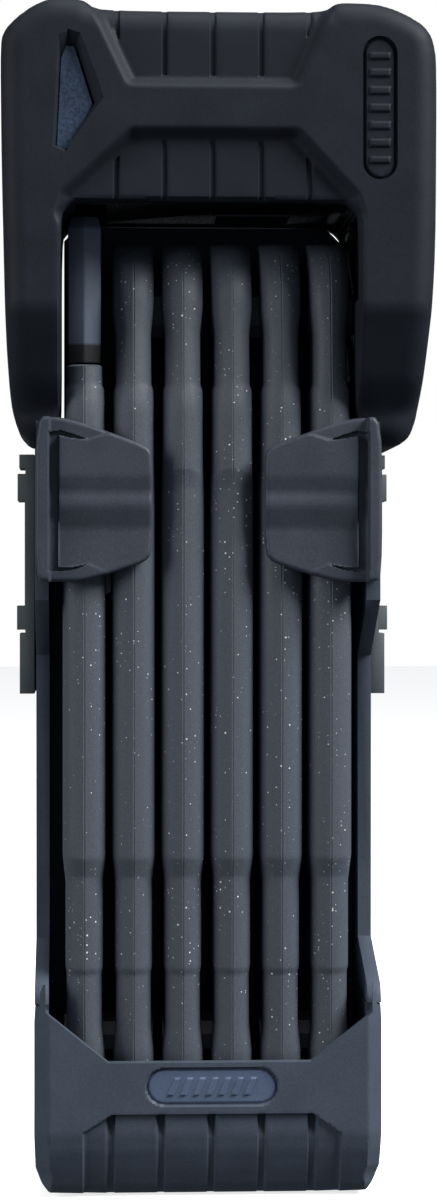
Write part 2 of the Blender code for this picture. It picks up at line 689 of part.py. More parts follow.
def keyhole_trim():
    place = (CYLINDER_X, CYLINDER_Y, 0)
    bezel = turned("keyhole_bezel", [(6.6, 99.6), (6.6, 98.9), (4.6, 98.9), (4.6, 99.6)], "Z", place)
    add(bezel, bright_steel, head)
    cover = box("keyhole_cover", (CYLINDER_X - 9, -30.6, 100.1), (CYLINDER_X + 9, -17.5, 101.0))
    for ridge in (-29.4, -27.6, -25.8):
        low, high = (CYLINDER_X - 6, ridge - 0.4, 100.5), (CYLINDER_X + 6, ridge + 0.4, 101.4)
        join(cover, box("grip_ridge", low, high))
    add(cover, soft_touch, cover_carrier)


# ---------------------------------------------------------------- the whole lock

clear_scene()
parts = new_collection("folding_bike_lock")
cutters = new_collection("cutters")

soft_touch = finish("soft_touch_black", (0.020, 0.021, 0.024), 0.62)
holder_plastic = finish("holder_nylon", (0.022, 0.024, 0.028), 0.5)
clip_plastic = finish("clip_nylon", (0.034, 0.038, 0.046), 0.5)
bracket_plastic = finish("bracket_nylon", (0.060, 0.066, 0.066), 0.55)
sleeve_coating = finish("sleeve_coating", (0.050, 0.054, 0.060), 0.55)
grained_plastic = finish("grained_insert", (0.060, 0.080, 0.110), 0.5)
rubber = finish("rubber", (0.015, 0.015, 0.015), 0.8)
label_stock = finish("blank_label", (0.12, 0.14, 0.20), 0.4)
bar_steel_finish = finish("painted_bar_steel", (0.055, 0.062, 0.075), 0.45, 0.3)
black_steel = finish("black_steel", (0.01, 0.01, 0.012), 0.25, 0.6)
rivet_steel = finish("rivet_steel", (0.10, 0.10, 0.11), 0.35, 1.0)
bright_steel = finish("zinc_steel", (0.55, 0.56, 0.58), 0.3, 1.0)
brass = finish("brass", (0.70, 0.55, 0.28), 0.3, 1.0)

# The lock hangs together from bar 6; the other bars follow one after another, the head last.
bars = {6: body("bar_6_body", (BAR_CENTRES[5], BAR_Y, BOTTOM_PIVOT))}
for number in range(5, 0, -1):
    pivot = BOTTOM_PIVOT if number % 2 else TOP_PIVOT
    bars[number] = body(f"bar_{number}_body", (BAR_CENTRES[number - 1], BAR_Y, pivot), bars[number + 1])
head = body("head_body", (BAR_CENTRES[5], BAR_Y, TOP_PIVOT), bars[6])
key = body("key_body", (CYLINDER_X, CYLINDER_Y, 98.5), head)
bolt_carrier = body("bolt_body", (BOLT_BOX[0][0], CYLINDER_Y, 75), head)
cover_carrier = body("cover_body", (CYLINDER_X, CYLINDER_Y, 100.1), head)
left_clip = body("left_clip_body", (-WALL_OUTER, -35.0, 16))
right_clip = body("right_clip_body", (WALL_OUTER, -35.0, 16))

holder_body()
holder_cup()
cup_badge()
cup_liner()
frame_bracket()
frame_pad()
bracket_screw(-1)
bracket_screw(1)
clip_flap(-1, left_clip)
clip_flap(1, right_clip)
chain()
head_core()
head_cover_front()
head_cover_rear()
for screw_number in range(1, 5):
    cover_screw(screw_number)
face_plates()
lock_cylinder()
keyhole_trim()
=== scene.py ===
# %% [markdown]
# # A folding bike lock in its frame holder
# The lock is a chain of six flat steel bars under a two-legged lock head. Folded up, it stands in a
# moulded holder. The working model is already built: it fixes every size, place and joint. This file
# only makes the looks: the moulded skins, the soft coatings, the finishes, the light and the camera.

# %% Load the frame
import json
import math

import bpy
import numpy as np
from mathutils import Matrix, Vector


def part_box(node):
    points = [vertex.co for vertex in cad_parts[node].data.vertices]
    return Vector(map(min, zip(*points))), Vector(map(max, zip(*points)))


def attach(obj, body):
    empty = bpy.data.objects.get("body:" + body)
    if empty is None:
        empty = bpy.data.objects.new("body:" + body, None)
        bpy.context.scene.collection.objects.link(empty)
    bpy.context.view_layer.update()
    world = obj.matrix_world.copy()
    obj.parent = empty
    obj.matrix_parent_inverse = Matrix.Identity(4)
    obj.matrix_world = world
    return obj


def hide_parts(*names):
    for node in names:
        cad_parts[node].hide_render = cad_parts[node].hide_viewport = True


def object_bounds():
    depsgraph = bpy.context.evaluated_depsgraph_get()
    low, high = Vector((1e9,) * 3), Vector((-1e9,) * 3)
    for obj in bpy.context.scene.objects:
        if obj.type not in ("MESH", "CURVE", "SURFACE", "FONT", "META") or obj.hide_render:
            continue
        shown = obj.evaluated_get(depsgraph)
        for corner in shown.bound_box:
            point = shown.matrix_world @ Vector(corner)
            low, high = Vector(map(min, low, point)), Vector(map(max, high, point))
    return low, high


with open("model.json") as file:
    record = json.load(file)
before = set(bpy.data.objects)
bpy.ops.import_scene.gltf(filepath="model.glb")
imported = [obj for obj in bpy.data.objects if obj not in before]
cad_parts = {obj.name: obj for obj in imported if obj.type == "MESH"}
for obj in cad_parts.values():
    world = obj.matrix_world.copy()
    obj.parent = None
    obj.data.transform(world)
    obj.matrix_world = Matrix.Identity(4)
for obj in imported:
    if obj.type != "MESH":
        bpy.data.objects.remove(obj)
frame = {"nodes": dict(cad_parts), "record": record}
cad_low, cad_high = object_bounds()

MM = 0.001

# %% [markdown]
# ## Camera
# The picture is taken from straight in front and a few degrees to the left, about half a metre
# away. That is close enough for the far side of the holder to look smaller than the near side, so
# the distance matters as much as the angle.

# %% Place the camera
VIEW_DISTANCE = 0.500
VIEW_TURN = math.radians(2.7)
AIM = Vector((0.0016, -0.0393, 0.0000))

camera_data = bpy.data.cameras.new("camera")
camera = bpy.data.objects.new("camera", camera_data)
bpy.context.scene.collection.objects.link(camera)
camera.location = AIM + VIEW_DISTANCE * Vector((-math.sin(VIEW_TURN), -math.cos(VIEW_TURN), 0))
camera.rotation_euler = (math.radians(90), 0, -VIEW_TURN)
PICTURE_HEIGHT = 0.2070
camera_data.sensor_fit = "VERTICAL"
camera_data.sensor_height = 24
camera_data.lens = camera_data.sensor_height * VIEW_DISTANCE / PICTURE_HEIGHT
camera_data.clip_start = 0.01
bpy.context.scene.camera = camera
print("lens", round(camera_data.lens, 1), "mm")

# %% [markdown]
# ## Light and floor
# Dark mouldings need light from one main side, or every facet comes out alike. So one soft panel
# stands high on the right, a weak one on the left draws the far edges, and the surround is dim for
# the object while the camera still sees it white. The floor, too, is white only for the camera.

# %% Light the scene
FLOOR_Z = cad_low.z - 0.0005


def area_light(name, place, target, size, power):
    """A square soft light that faces a point."""
    data = bpy.data.lights.new(name, "AREA")
    data.shape = "SQUARE"
    data.size = size
    data.energy = power
    light = bpy.data.objects.new(name, data)
    light.location = place
    light.rotation_euler = (Vector(target) - Vector(place)).to_track_quat("-Z", "Y").to_euler()
    bpy.context.scene.collection.objects.link(light)
    return light


CENTRE = (0, -0.02, 0.01)
area_light("key_panel", (0.90, -0.46, 0.85), CENTRE, 0.6, 33)
area_light("left_panel", (-0.90, -0.45, 0.25), CENTRE, 0.5, 5.0)
area_light("top_panel", (0.05, -0.15, 1.10), CENTRE, 0.6, 6)
print(len(bpy.data.lights), "lights placed")

world = bpy.data.worlds.new("pale_surround")
bpy.context.scene.world = world
world.use_nodes = True
sky = world.node_tree
dim, white = sky.nodes["Background"], sky.nodes.new("ShaderNodeBackground")
dim.inputs["Color"].default_value = (0.80, 0.90, 1.0, 1)
dim.inputs["Strength"].default_value = 0.19
white.inputs["Color"].default_value = (1, 1, 1, 1)
white.inputs["Strength"].default_value = 1.0
ray, choose = sky.nodes.new("ShaderNodeLightPath"), sky.nodes.new("ShaderNodeMixShader")
sky.links.new(ray.outputs["Is Camera Ray"], choose.inputs[0])
sky.links.new(dim.outputs[0], choose.inputs[1])
sky.links.new(white.outputs[0], choose.inputs[2])
sky.links.new(choose.outputs[0], sky.nodes["World Output"].inputs["Surface"])

bpy.context.scene.view_settings.view_transform = "Standard"

# %% Make the floor and backdrop
bpy.ops.mesh.primitive_plane_add(size=8, location=(0, 0, FLOOR_Z))
floor = bpy.context.active_object
floor.name = "floor"
floor.visible_diffuse = floor.visible_glossy = False
floor_paint = bpy.data.materials.new("white_floor")
floor_paint.use_nodes = True
paint_shader = floor_paint.node_tree.nodes["Principled BSDF"]
paint_shader.inputs["Base Color"].default_value = (0.8, 0.8, 0.8, 1)
paint_shader.inputs["Roughness"].default_value = 0.9
paint_shader.inputs["Emission Color"].default_value = (1, 1, 1, 1)
paint_shader.inputs["Emission Strength"].default_value = 0.75
floor.data.materials.append(floor_paint)

# %% [markdown]
# ## Finishes
# Everything here is dark, so what tells the pieces apart is their texture. Each finish is a small
# node tree on Object coordinates, so a pattern keeps its real size in millimetres.

# %% Helpers for node materials


def hex_colour(code):
    """An sRGB hex code as the linear colour that shaders work in."""
    channels = [int(code[start:start + 2], 16) / 255 for start in (1, 3, 5)]
    linear = [c / 12.92 if c <= 0.04045 else ((c + 0.055) / 1.055) ** 2.4 for c in channels]
    return (*linear, 1)


def add_node(tree, kind, inputs=None, **settings):
    """Adds a node, sets its properties, and sets or links its inputs."""
    node = tree.nodes.new(kind)
    for key, value in settings.items():
        setattr(node, key, value)
    for socket, value in (inputs or {}).items():
        if isinstance(value, bpy.types.NodeSocket):
            tree.links.new(value, node.inputs[socket])
        else:
            node.inputs[socket].default_value = value
    return node


def start_material(name, **shader_values):
    """A material whose Principled shader has these uniform values set on its own sockets."""
    material = bpy.data.materials.new(name)
    material.use_nodes = True
    tree = material.node_tree
    shader = tree.nodes["Principled BSDF"]
    for socket, value in shader_values.items():
        shader.inputs[socket.replace("_", " ")].default_value = value
    place = add_node(tree, "ShaderNodeTexCoord").outputs["Object"]
    return material, tree, shader, place


def per_metre(size_mm):
    """The texture scale that makes one feature this many millimetres wide."""
    return 1 / (size_mm * MM)


def between(tree, factor, low_code, high_code):
    """A colour between two hex colours, by a factor socket."""
    mix = add_node(tree, "ShaderNodeMix", data_type="RGBA")
    tree.links.new(factor, mix.inputs["Factor"])
    mix.inputs["A"].default_value = hex_colour(low_code)
    mix.inputs["B"].default_value = hex_colour(high_code)
    return mix.outputs["Result"]


# %% [markdown]
# ### Moulded plastic and rubber
# Nylon and soft-touch rubber come out of a spark-eroded mould, which leaves a fine even grain of
# about a third of a millimetre. A slower noise over it gives the slight cloudiness of handled
# plastic.

# %% Moulded finishes
CLOUD_MM = 9


def moulded(name, dark, light, grain_mm, grain_depth, roughness, gloss=0.3, sheen=0.0):
    material, tree, shader, place = start_material(
        name, Roughness=roughness, IOR=1.5, Specular_IOR_Level=gloss,
        Sheen_Weight=sheen, Sheen_Roughness=0.4)
    cloud = add_node(tree, "ShaderNodeTexNoise",
                     {"Vector": place, "Scale": per_metre(CLOUD_MM), "Detail": 3.0})
    grain = add_node(tree, "ShaderNodeTexNoise",
                     {"Vector": place, "Scale": per_metre(grain_mm), "Detail": 2.0})
    blend = add_node(tree, "ShaderNodeMath",
                     {0: cloud.outputs["Fac"], 1: grain.outputs["Fac"]}, operation="ADD")
    spread = add_node(tree, "ShaderNodeMapRange",
                      {"Value": blend.outputs[0], "From Min": 0.7, "From Max": 1.3})
    tree.links.new(between(tree, spread.outputs["Result"], dark, light), shader.inputs["Base Color"])
    bump = add_node(tree, "ShaderNodeBump",
                    {"Height": grain.outputs["Fac"], "Strength": 0.6, "Distance": grain_depth * MM})
    tree.links.new(bump.outputs["Normal"], shader.inputs["Normal"])
    return material


soft_touch_rubber = moulded("soft_touch_rubber", "#171A20", "#1F232B", 0.30, 0.02, 0.60, 0.15)
holder_nylon = moulded("glass_filled_nylon", "#3D444F", "#474F5C", 0.35, 0.03, 0.50, 0.25)
clip_nylon = moulded("grained_clip_nylon", "#32363F", "#3D424C", 0.40, 0.04, 0.48, 0.30)
bracket_nylon = moulded("grey_bracket_nylon", "#50565A", "#5A6063", 0.40, 0.03, 0.52, 0.30)
window_grain = moulded("coarse_grained_abs", "#1C2432", "#405068", 0.55, 0.08, 0.40, 0.40)
pad_rubber = moulded("black_epdm_rubber", "#0F0F10", "#191A1B", 0.50, 0.05, 0.80)

# %% [markdown]
# ### Speckled bar coating
# The bars wear a soft two-shot coating with fine light flakes in it. The flakes are no more than a
# third of a millimetre across, differ in brightness, and crowd together in some places. A cell
# pattern gives them when only the centres of some of its cells are lit.

# %% Speckled coating
FLAKE_CELL_MM, CROWD_MM, COATING_GRAIN_MM = 0.75, 14, 0.25


def speckled_coating(name, dark, light, flake):
    material, tree, shader, place = start_material(
        name, Roughness=0.55, IOR=1.5, Specular_IOR_Level=0.3)
    grain = add_node(tree, "ShaderNodeTexNoise",
                     {"Vector": place, "Scale": per_metre(COATING_GRAIN_MM), "Detail": 2.0})
    spread = add_node(tree, "ShaderNodeMapRange",
                      {"Value": grain.outputs["Fac"], "From Min": 0.35, "From Max": 0.65})
    base = between(tree, spread.outputs["Result"], dark, light)
    cells = add_node(tree, "ShaderNodeTexVoronoi", {"Vector": place, "Scale": per_metre(FLAKE_CELL_MM)})
    chance = add_node(tree, "ShaderNodeSeparateColor", {"Color": cells.outputs["Color"]})
    drift = add_node(tree, "ShaderNodeTexNoise",
                     {"Vector": place, "Scale": per_metre(CROWD_MM), "Detail": 1.0})
    crowd = add_node(tree, "ShaderNodeMath",
                     {0: chance.outputs["Red"], 1: drift.outputs["Fac"]}, operation="ADD")
    size = add_node(tree, "ShaderNodeMapRange", {
        "Value": crowd.outputs[0], "From Min": 1.02, "From Max": 1.6, "To Min": 0.0, "To Max": 0.22})
    lit = add_node(tree, "ShaderNodeMath", {0: cells.outputs["Distance"], 1: size.outputs["Result"]},
                   operation="LESS_THAN")
    shine = add_node(tree, "ShaderNodeMapRange",
                     {"Value": chance.outputs["Green"], "To Min": 0.12, "To Max": 1.0})
    share = add_node(tree, "ShaderNodeMath",
                     {0: lit.outputs[0], 1: shine.outputs["Result"]}, operation="MULTIPLY")
    mix = add_node(tree, "ShaderNodeMix", {"Factor": share.outputs[0], "A": base, "B": hex_colour(flake)},
                   data_type="RGBA")
    tree.links.new(mix.outputs["Result"], shader.inputs["Base Color"])
    bump = add_node(tree, "ShaderNodeBump",
                    {"Height": grain.outputs["Fac"], "Strength": 0.7, "Distance": 0.05 * MM})
    tree.links.new(bump.outputs["Normal"], shader.inputs["Normal"])
    return material


sleeve_coating = speckled_coating("speckled_bar_coating", "#42474F", "#4C525B", "#E4E8EB")

# %% [markdown]
# ### Steel
# Painted, blackened, zinc-plated and brass pieces share one recipe: a metal or a coat of paint whose
# roughness wanders a little, with the faint drag marks of the tool that made it.

# %% Steel finishes


def metal(name, dark, light, roughness, metallic, drag_mm=0.25):
    material, tree, shader, place = start_material(name, Metallic=metallic)
    stretch = add_node(tree, "ShaderNodeMapping", {"Vector": place, "Scale": (1, 1, 0.08)})
    marks = add_node(tree, "ShaderNodeTexNoise",
                     {"Vector": stretch.outputs["Vector"], "Scale": per_metre(drag_mm), "Detail": 2.0})
    tree.links.new(between(tree, marks.outputs["Fac"], dark, light), shader.inputs["Base Color"])
    rough = add_node(tree, "ShaderNodeMapRange", {
        "Value": marks.outputs["Fac"], "To Min": roughness - 0.06, "To Max": roughness + 0.06})
    tree.links.new(rough.outputs["Result"], shader.inputs["Roughness"])
    bump = add_node(tree, "ShaderNodeBump",
                    {"Height": marks.outputs["Fac"], "Strength": 0.3, "Distance": 0.01 * MM})
    tree.links.new(bump.outputs["Normal"], shader.inputs["Normal"])
    return material


painted_bar_steel = metal("painted_hardened_steel", "#5F6979", "#6B7586", 0.48, 0.0, 0.5)
gloss_black_steel = metal("gloss_black_steel", "#030304", "#07070A", 0.26, 0.0)
blackened_steel = metal("blackened_rivet_steel", "#2A2A2C", "#3A3A3D", 0.40, 1.0)
zinc_steel = metal("zinc_plated_steel", "#A9ABAE", "#C4C6C8", 0.32, 1.0)
turned_brass = metal("turned_brass", "#B89650", "#CDAE68", 0.30, 1.0)
badge_nylon = moulded("pale_badge_nylon", "#4A566C", "#56637C", 0.35, 0.03, 0.50, 0.25)
label_film = moulded("blank_label_film", "#191C26", "#20242F", 0.80, 0.0, 0.35)

# Painted shade: the tongue is coloured dark up to just above the sleeve, where the chamfer into the sleeve
# lies in shade
SHADE_BAND_FADE_LOW, SHADE_BAND_FADE_HIGH = 44.5, 45.0
tongue_steel_with_shade_band = painted_bar_steel.copy()
tongue_steel_with_shade_band.name = "painted_steel_with_painted_shade_band"
tongue_tree = tongue_steel_with_shade_band.node_tree
tongue_shader = tongue_tree.nodes["Principled BSDF"]
paint = tongue_shader.inputs["Base Color"].links[0].from_socket
coordinates = next(node for node in tongue_tree.nodes if node.bl_idname == "ShaderNodeTexCoord")
object_place = coordinates.outputs["Object"]
height = add_node(tongue_tree, "ShaderNodeSeparateXYZ", {"Vector": object_place}).outputs["Z"]
above_band = add_node(tongue_tree, "ShaderNodeMapRange", {
    "Value": height, "From Min": SHADE_BAND_FADE_LOW * MM, "From Max": SHADE_BAND_FADE_HIGH * MM})
# Mixes the painted shade colour in below the fade height, and the steel paint above it
banded = add_node(tongue_tree, "ShaderNodeMix", {
    "Factor": above_band.outputs["Result"], "A": hex_colour("#2E2E30"), "B": paint}, data_type="RGBA")
tongue_tree.links.new(banded.outputs["Result"], tongue_shader.inputs["Base Color"])
print(sleeve_coating.name, "has", len(sleeve_coating.node_tree.nodes), "nodes")

# %% Give every working piece its finish
FINISH_OF_SLOT = {
    "soft_touch": soft_touch_rubber, "holder_nylon": holder_nylon, "clip_nylon": clip_nylon,
    "bracket_nylon": bracket_nylon, "sleeve_coating": sleeve_coating, "grained_insert": window_grain,
    "rubber": pad_rubber, "blank_label": label_film, "bar_steel": painted_bar_steel,
    "black_steel": gloss_black_steel, "rivet_steel": blackened_steel, "zinc_steel": zinc_steel,
    "brass": turned_brass,
}
for entry in frame["record"]["subparts"]:
    working_piece = frame["nodes"][entry["node"]]
    working_piece.data.materials.clear()
    working_piece.data.materials.append(FINISH_OF_SLOT[entry["material_slot"]])

# %% [markdown]
# ## Ways of making moulded pieces
# The casing, the wings and the cup are mouldings: broad soft faces with sunk zones, grooves and
# rounded rims. Bevelled blocks would give hard steps. So each face starts as a fine grid, trimmed
# to the outline of the piece. Its rim is rolled over, its points are pushed back by a depth that is
# worked out from the outlines of the sunk zones, and then the rim is drawn back to make the walls.

# %% Selecting and editing by code


def only(obj):
    """Makes this object the one selected and active object."""
    bpy.ops.object.select_all(action="DESELECT")
    obj.select_set(True)
    bpy.context.view_layer.objects.active = obj


def read_points(mesh):
    points = np.empty(len(mesh.vertices) * 3)
    mesh.vertices.foreach_get("co", points)
    return points.reshape(-1, 3)


def write_points(mesh, points):
    mesh.vertices.foreach_set("co", np.ascontiguousarray(points, dtype=float).ravel())
    mesh.update()


def select_points(obj, chosen):
    """Selects just these vertices, ready for an edit-mode operator."""
    bpy.ops.object.mode_set(mode="EDIT")
    bpy.ops.mesh.select_mode(type="VERT")
    bpy.ops.mesh.select_all(action="DESELECT")
    bpy.ops.object.mode_set(mode="OBJECT")
    obj.data.vertices.foreach_set("select", np.ascontiguousarray(chosen, dtype=bool))
    bpy.ops.object.mode_set(mode="EDIT")


def tidy_normals(obj, sharp_degrees=35):
    only(obj)
    bpy.ops.object.mode_set(mode="EDIT")
    bpy.ops.mesh.select_all(action="SELECT")
    bpy.ops.mesh.normals_make_consistent(inside=False)
    bpy.ops.object.mode_set(mode="OBJECT")
    bpy.ops.object.shade_smooth_by_angle(angle=math.radians(sharp_degrees))


# %% Outlines, distances and soft steps


def arc(centre, radius, start, end, steps):
    """Points on an arc, both ends included; angles in degrees, sizes in millimetres."""
    turns = np.radians(np.linspace(start, end, steps + 1))
    return [(centre[0] + radius * math.cos(turn), centre[1] + radius * math.sin(turn)) for turn in turns]


def stadium(centre, half_length, radius, upright=False, steps=12):
    run = half_length - radius
    if upright:
        top = arc((centre[0], centre[1] + run), radius, 0, 180, steps)
        return top + arc((centre[0], centre[1] - run), radius, 180, 360, steps)
    right = arc((centre[0] + run, centre[1]), radius, -90, 90, steps)
    return right + arc((centre[0] - run, centre[1]), radius, 90, 270, steps)


def mirrored(outline):
    return [(-across, up) for across, up in reversed(outline)]


def inside_by(points, outline):
    """How far each point is inside a closed outline (negative outside), and the nearest point on it."""
    starts = np.array(outline, float)
    runs = np.roll(starts, -1, axis=0) - starts
    gap = np.full(len(points), np.inf)
    foot = np.zeros_like(points)
    inside = np.zeros(len(points), bool)
    for start, run in zip(starts, runs):
        share = np.clip(((points - start) @ run) / (run @ run), 0, 1)
        near = start + share[:, None] * run
        away = np.hypot(points[:, 0] - near[:, 0], points[:, 1] - near[:, 1])
        closer = away < gap
        gap[closer] = away[closer]
        foot[closer] = near[closer]
        spans = (start[1] > points[:, 1]) != (start[1] + run[1] > points[:, 1])
        slope = run[0] / run[1] if run[1] else 0
        inside ^= spans & (points[:, 0] < start[0] + (points[:, 1] - start[1]) * slope)
    return np.where(inside, gap, -gap), foot


def soft_step(value):
    """0 below 0, 1 above 1, and a smooth rise between."""
    value = np.clip(value, 0, 1)
    return value * value * (3 - 2 * value)


def smooth_line(value, at, heights, spread):
    """A broken line through (at, heights), with its corners rounded over the spread."""
    offsets = np.linspace(-spread, spread, 9)
    return sum(np.interp(value + offset, at, heights) for offset in offsets) / len(offsets)


# %% A moulding from a trimmed grid


def moulding(name, outline, front, back, cell, roll=(1, 1), flat_roll=False, depth=None):
    """A closed moulding whose face lies at front and whose walls run to back, in millimetres.

    roll is how far in from the rim the face starts to fall away, and how far it falls there. It is
    two numbers or a function of the nearest points on the rim. depth(spots) sinks the face.
    """
    outline = np.array(outline, float)
    low, high = outline.min(axis=0), outline.max(axis=0)
    columns, rows = (int(count) for count in np.ceil((high - low) / cell))
    bpy.ops.object.select_all(action="DESELECT")
    bpy.ops.mesh.primitive_grid_add(x_subdivisions=columns, y_subdivisions=rows, size=1)
    piece = bpy.context.active_object
    piece.name = name
    mesh = piece.data
    spots = low + (read_points(mesh)[:, :2] + 0.5) * (high - low)
    write_points(mesh, np.column_stack([spots, np.zeros(len(spots))]))
    inward, _ = inside_by(spots, outline)
    select_points(piece, inward < 0.35 * cell)
    bpy.ops.mesh.delete(type="VERT")
    bpy.ops.object.mode_set(mode="OBJECT")

    edge_of_loop = np.empty(len(mesh.loops), int)
    mesh.loops.foreach_get("edge_index", edge_of_loop)
    ends = np.empty(len(mesh.edges) * 2, int)
    mesh.edges.foreach_get("vertices", ends)
    single = np.bincount(edge_of_loop, minlength=len(mesh.edges)) == 1
    rim = np.zeros(len(mesh.vertices), bool)
    rim[ends.reshape(-1, 2)[single].ravel()] = True

    spots = read_points(mesh)[:, :2]
    inward, foot = inside_by(spots, outline)
    inward[rim] = 0
    reach, fall = roll(foot) if callable(roll) else np.tile(np.array(roll, float)[:, None], len(spots))
    share = np.clip(inward / reach, 0, 1)
    if flat_roll:
        drop = fall * (1 - share)
        spots[rim] = foot[rim]
    else:
        drop = fall * (1 - np.sin(share * math.pi / 2))
        rolled = np.where(inward < reach, reach * (1 - np.cos(share * math.pi / 2)), inward)
        scale = rolled / np.where(inward > 0, inward, 1)
        near_rim = (inward < reach)[:, None]
        spots = np.where(near_rim, foot + (spots - foot) * scale[:, None], spots)
    sunk = drop + (depth(spots) if depth else 0)
    way = 1 if back > front else -1
    write_points(mesh, np.column_stack([spots[:, 0], front + way * sunk, spots[:, 1]]) * MM)

    select_points(piece, rim)
    bpy.ops.mesh.select_all(action="DESELECT")
    bpy.ops.mesh.select_non_manifold()
    bpy.ops.mesh.extrude_region_move(TRANSFORM_OT_translate={"value": (0, 0, 0)})
    bpy.ops.object.mode_set(mode="OBJECT")
    chosen = np.empty(len(mesh.vertices), bool)
    mesh.vertices.foreach_get("select", chosen)
    points = read_points(mesh)
    points[chosen, 1] = back * MM
    write_points(mesh, points)
    bpy.ops.object.mode_set(mode="EDIT")
    bpy.ops.mesh.edge_face_add()
    bpy.ops.object.mode_set(mode="OBJECT")
    tidy_normals(piece)
    print(name, "moulded with", len(mesh.polygons), "faces")
    return piece


# %% Prisms, cuts and soft edges
AXES = {"X": (2, 0, 1), "Y": (0, 2, 1), "Z": (0, 1, 2)}


def prism(name, outline, near, far, facing="Y", far_outline=None):
    """An outline drawn out from near to far; it can change to a second outline of as many points."""
    order = AXES[facing]
    bpy.ops.object.select_all(action="DESELECT")
    bpy.ops.mesh.primitive_circle_add(vertices=len(outline), fill_type="NGON")
    piece = bpy.context.active_object
    piece.name = name
    near_end = np.column_stack([outline, np.full(len(outline), near)])[:, order]
    far_end = np.column_stack([far_outline or outline, np.full(len(outline), far)])[:, order]
    write_points(piece.data, near_end * MM)
    bpy.ops.object.mode_set(mode="EDIT")
    bpy.ops.mesh.select_all(action="SELECT")
    shift = (far_end[0] - near_end[0]) * MM
    bpy.ops.mesh.extrude_region_move(TRANSFORM_OT_translate={"value": tuple(shift)})
    bpy.ops.object.mode_set(mode="OBJECT")
    points = read_points(piece.data)
    chosen = np.empty(len(points), bool)
    piece.data.vertices.foreach_get("select", chosen)
    moved = near_end * MM + shift
    for index in np.flatnonzero(chosen):
        match = np.argmin(np.linalg.norm(moved - points[index], axis=1))
        points[index] = far_end[match] * MM
    write_points(piece.data, points)
    tidy_normals(piece)
    return piece


def box(name, low, high):
    """A block between two corners, in millimetres."""
    low, high = np.minimum(low, high), np.maximum(low, high)
    bpy.ops.object.select_all(action="DESELECT")
    bpy.ops.mesh.primitive_cube_add(size=1)
    piece = bpy.context.active_object
    piece.name = name
    write_points(piece.data, ((low + high) / 2 + read_points(piece.data) * (high - low)) * MM)
    return piece


def apply_modifier(obj, kind, **settings):
    only(obj)
    modifier = obj.modifiers.new(kind.title(), kind)
    for key, value in settings.items():
        setattr(modifier, key, value)
    bpy.ops.object.modifier_apply(modifier=modifier.name)


def combine(obj, others, operation="DIFFERENCE"):
    for other in others:
        apply_modifier(obj, "BOOLEAN", operation=operation, object=other, solver="EXACT")
        bpy.data.objects.remove(other)
    bpy.ops.object.shade_smooth_by_angle(angle=math.radians(35))
    return obj


def soft_copy(node, width, segments=2, sharp_degrees=30):
    """A copy of a working piece, merged and with its edges rounded as a tool or mould leaves them."""
    copy = frame["nodes"][node].copy()
    copy.data = copy.data.copy()
    copy.name = f"{node}_finished"
    copy.parent = None
    bpy.context.scene.collection.objects.link(copy)
    copy.hide_render = False
    only(copy)
    bpy.ops.object.mode_set(mode="EDIT")
    bpy.ops.mesh.select_all(action="SELECT")
    bpy.ops.mesh.remove_doubles(threshold=0.01 * MM)
    bpy.ops.mesh.dissolve_limited(angle_limit=math.radians(1))
    bpy.ops.object.mode_set(mode="OBJECT")
    apply_modifier(copy, "BEVEL", width=width * MM, segments=segments, limit_method="ANGLE",
                   angle_limit=math.radians(sharp_degrees), use_clamp_overlap=True)
    tidy_normals(copy)
    return copy


def body_of_node(node):
    return next(name for name, nodes in frame["record"]["behaviour"]["bodies"].items() if node in nodes)


def hang(piece, node, finish):
    """Gives a finished piece its material, and lets it stand for its working piece."""
    piece.data.materials.clear()
    piece.data.materials.append(finish)
    for face in piece.data.polygons:
        face.material_index = 0
    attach(piece, body_of_node(node))
    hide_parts(node)
    return piece


# %% [markdown]
# ## Lock head
# The head is a steel body inside two halves of a soft-touch casing. The front half has a raised
# frame in the shape of an X around two ribbed zones, two shoulders at the top, a kite-shaped
# window, and legs whose fronts slope back at their lower ends.

# %% Sizes of the head
HEAD_FRONT, SEAM_FRONT = (corner.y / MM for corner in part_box("head_cover_front"))
SEAM_BACK, HEAD_BACK = (corner.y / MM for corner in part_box("head_cover_rear"))
COVER_SKIN = 3.0
NOTCH_TOP = 68.5
ZONE_DEPTH, ZONE_SLOPE = 1.9, 2.3
RIB_GROOVES = [8.3 * step + 0.6 for step in range(-2, 3)]
NOTCH = [(-25.6, NOTCH_TOP - 2.6), (-24.5, NOTCH_TOP - 1.15), (-22.6, NOTCH_TOP), (22.8, NOTCH_TOP),
         (24.7, NOTCH_TOP - 1.15), (25.8, NOTCH_TOP - 2.6)]
LEFT_LEG = [(-35.9, 95.8), (-35.7, 75.0), (-35.0, 45.0), (-34.3, 34.0), (-33.2, 29.8), (-31.2, 27.6),
            (-27.4, 27.6), (-25.6, 29.4)]
RIGHT_LEG = [(25.8, 28.6), (27.6, 26.8), (33.2, 26.8), (35.6, 28.6), (36.9, 32.4), (37.9, 43.0),
             (39.0, 60.0), (39.2, 93.0)]
CROWN = [(38.4, 97.0), (36.9, 99.0), (34.5, 100.5), (31.6, 101.8), (28.5, 102.6), (22.0, 102.8),
         (19.6, 101.4), (-19.4, 101.4), (-22.0, 103.0), (-27.4, 103.1), (-30.4, 101.8), (-33.0, 99.9),
         (-34.9, 98.0)]


def round_corners(outline, times=2):
    """Cuts each corner of a closed outline near the ends of its sides, which rounds it."""
    points = np.array(outline, float)
    for _ in range(times):
        after = np.roll(points, -1, axis=0)
        pairs = np.stack([points * 0.82 + after * 0.18, points * 0.18 + after * 0.82], axis=1)
        points = pairs.reshape(-1, 2)
    return [tuple(point) for point in points]


HEAD_OUTLINE = round_corners(LEFT_LEG + NOTCH + RIGHT_LEG + CROWN)

